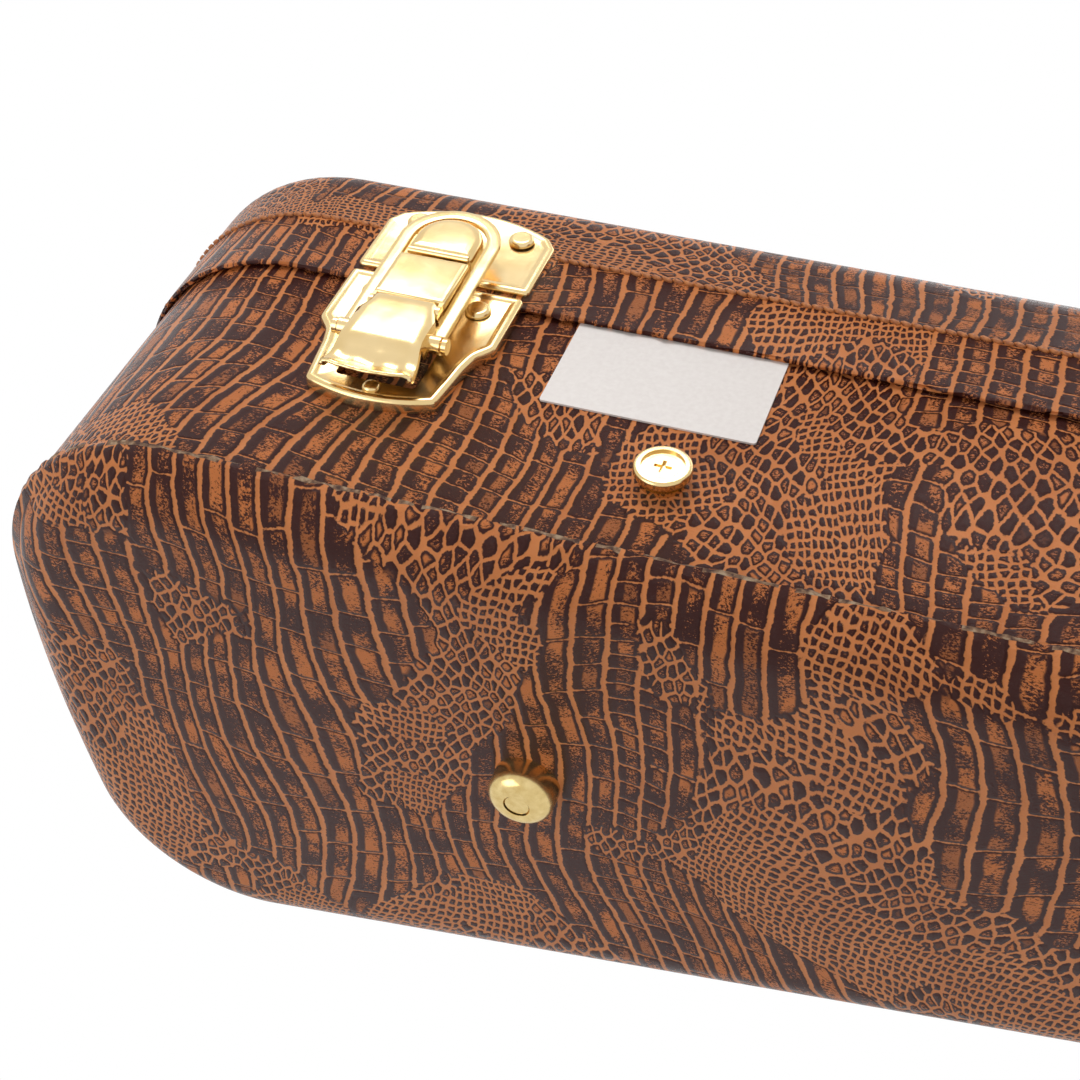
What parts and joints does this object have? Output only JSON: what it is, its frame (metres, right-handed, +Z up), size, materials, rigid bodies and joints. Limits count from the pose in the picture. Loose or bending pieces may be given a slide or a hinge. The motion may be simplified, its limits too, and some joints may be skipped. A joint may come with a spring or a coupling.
{
  "type": "mandolin_case",
  "caption": "Shaped hard case for a mandolin in embossed brown leathercloth, with brass draw latches, back hinges, handle, domed feet and a plush-lined inside.",
  "frame": {"origin": "centre of the bounding box in plan, on the floor that the feet stand on", "axes": "X from the headstock end to the wide end, Y from the latches to the hinges, Z up"},
  "size_m": [0.7434, 0.3197, 0.1242],
  "materials": {
    "plywood": "thin sheets of plywood, plain",
    "embossed_covering": "glossy embossed leathercloth with tan grooves",
    "plush": "short plush in wine red",
    "tab_tape": "woven tape",
    "brass": "pale plated brass, polished",
    "plate_metal": "thin plate, satin off-white, blank",
    "grip_leather": "stitched leather grip"
  },
  "bodies": {
    "case_body": {"bottom_panel": "plywood", "body_side_wall": "plywood", "body_side_covering": "embossed_covering", "bottom_covering": "embossed_covering", "body_rim_strip": "plush", "side_wall_lining": "plush", "floor_pad": "plush", "neck_cradle": "plush", "accessory_box": "plush", "neck_strap_button": "brass", "tail_strap_button": "brass", "strap_button_screws": "brass", "feet": "brass", "foot_rivets": "brass", "body_wall_rivets": "brass", "handle_brackets": "brass", "handle_pins": "brass", "name_plate": "plate_metal", "neck_latch_base": "brass", "neck_latch_lever_pin": "brass", "waist_latch_base": "brass", "waist_latch_lever_pin": "brass", "tail_latch_base": "brass", "tail_latch_lever_pin": "brass", "waist_hinge_body_leaf": "brass", "waist_hinge_pin": "brass", "tail_hinge_body_leaf": "brass", "tail_hinge_pin": "brass"},
    "lid": {"lid_top_panel": "plywood", "lid_side_wall": "plywood", "lid_side_covering": "embossed_covering", "lid_top_covering": "embossed_covering", "lid_seam_bead": "embossed_covering", "lid_wall_lining": "plush", "lid_pad": "plush", "lid_wall_rivets": "brass", "neck_latch_catch": "brass", "waist_latch_catch": "brass", "tail_latch_catch": "brass", "waist_hinge_lid_leaf": "brass", "tail_hinge_lid_leaf": "brass"},
    "handle": {"handle_rod": "brass", "handle_grip": "grip_leather"},
    "accessory_lid": {"accessory_box_lid": "plush", "accessory_lid_tab": "tab_tape"},
    "neck_lever": {"neck_latch_lever": "brass", "neck_latch_bail_pin": "brass"},
    "neck_bail": {"neck_latch_bail": "brass"},
    "waist_lever": {"waist_latch_lever": "brass", "waist_latch_bail_pin": "brass"},
    "waist_bail": {"waist_latch_bail": "brass"},
    "tail_lever": {"tail_latch_lever": "brass", "tail_latch_bail_pin": "brass"},
    "tail_bail": {"tail_latch_bail": "brass"}
  },
  "joints": [
    {"name": "lid_hinge", "type": "hinge", "parent": "case_body", "child": "lid", "pos_m": [0.13605, 0.15685, 0.0832], "axis": [-1, 0, 0], "range_deg": [0, 100]},
    {"name": "handle_swing", "type": "hinge", "parent": "case_body", "child": "handle", "pos_m": [0.13605, -0.15185, 0.062], "axis": [-1, 0, 0], "range_deg": [0, 165]},
    {"name": "accessory_lid_hinge", "type": "hinge", "parent": "case_body", "child": "accessory_lid", "pos_m": [-0.08045, 0.00555, 0.0447], "axis": [0, 1, 0], "range_deg": [0, 95]},
    {"name": "neck_lever_hinge", "type": "hinge", "parent": "case_body", "child": "neck_lever", "pos_m": [-0.28942, -0.07133, 0.065], "axis": [-0.9962, -0.0872, 0], "range_deg": [0, 100]},
    {"name": "neck_bail_hinge", "type": "hinge", "parent": "neck_lever", "child": "neck_bail", "pos_m": [-0.28954, -0.06994, 0.05695], "axis": [0.9962, 0.0872, 0], "range_deg": [0, 116]},
    {"name": "waist_lever_hinge", "type": "hinge", "parent": "case_body", "child": "waist_lever", "pos_m": [0.04055, -0.14965, 0.065], "axis": [-1, 0, 0], "range_deg": [0, 100]},
    {"name": "waist_bail_hinge", "type": "hinge", "parent": "waist_lever", "child": "waist_bail", "pos_m": [0.04055, -0.14825, 0.05695], "axis": [1, 0, 0], "range_deg": [0, 116]},
    {"name": "tail_lever_hinge", "type": "hinge", "parent": "case_body", "child": "tail_lever", "pos_m": [0.23155, -0.14965, 0.065], "axis": [-1, 0, 0], "range_deg": [0, 100]},
    {"name": "tail_bail_hinge", "type": "hinge", "parent": "tail_lever", "child": "tail_bail", "pos_m": [0.23155, -0.14825, 0.05695], "axis": [1, 0, 0], "range_deg": [0, 116]}
  ],
  "couplings": [
    {"joint": "neck_bail_hinge", "follows": "neck_lever_hinge", "ratio": 1.15},
    {"joint": "waist_bail_hinge", "follows": "waist_lever_hinge", "ratio": 1.15},
    {"joint": "tail_bail_hinge", "follows": "tail_lever_hinge", "ratio": 1.15}
  ]
}
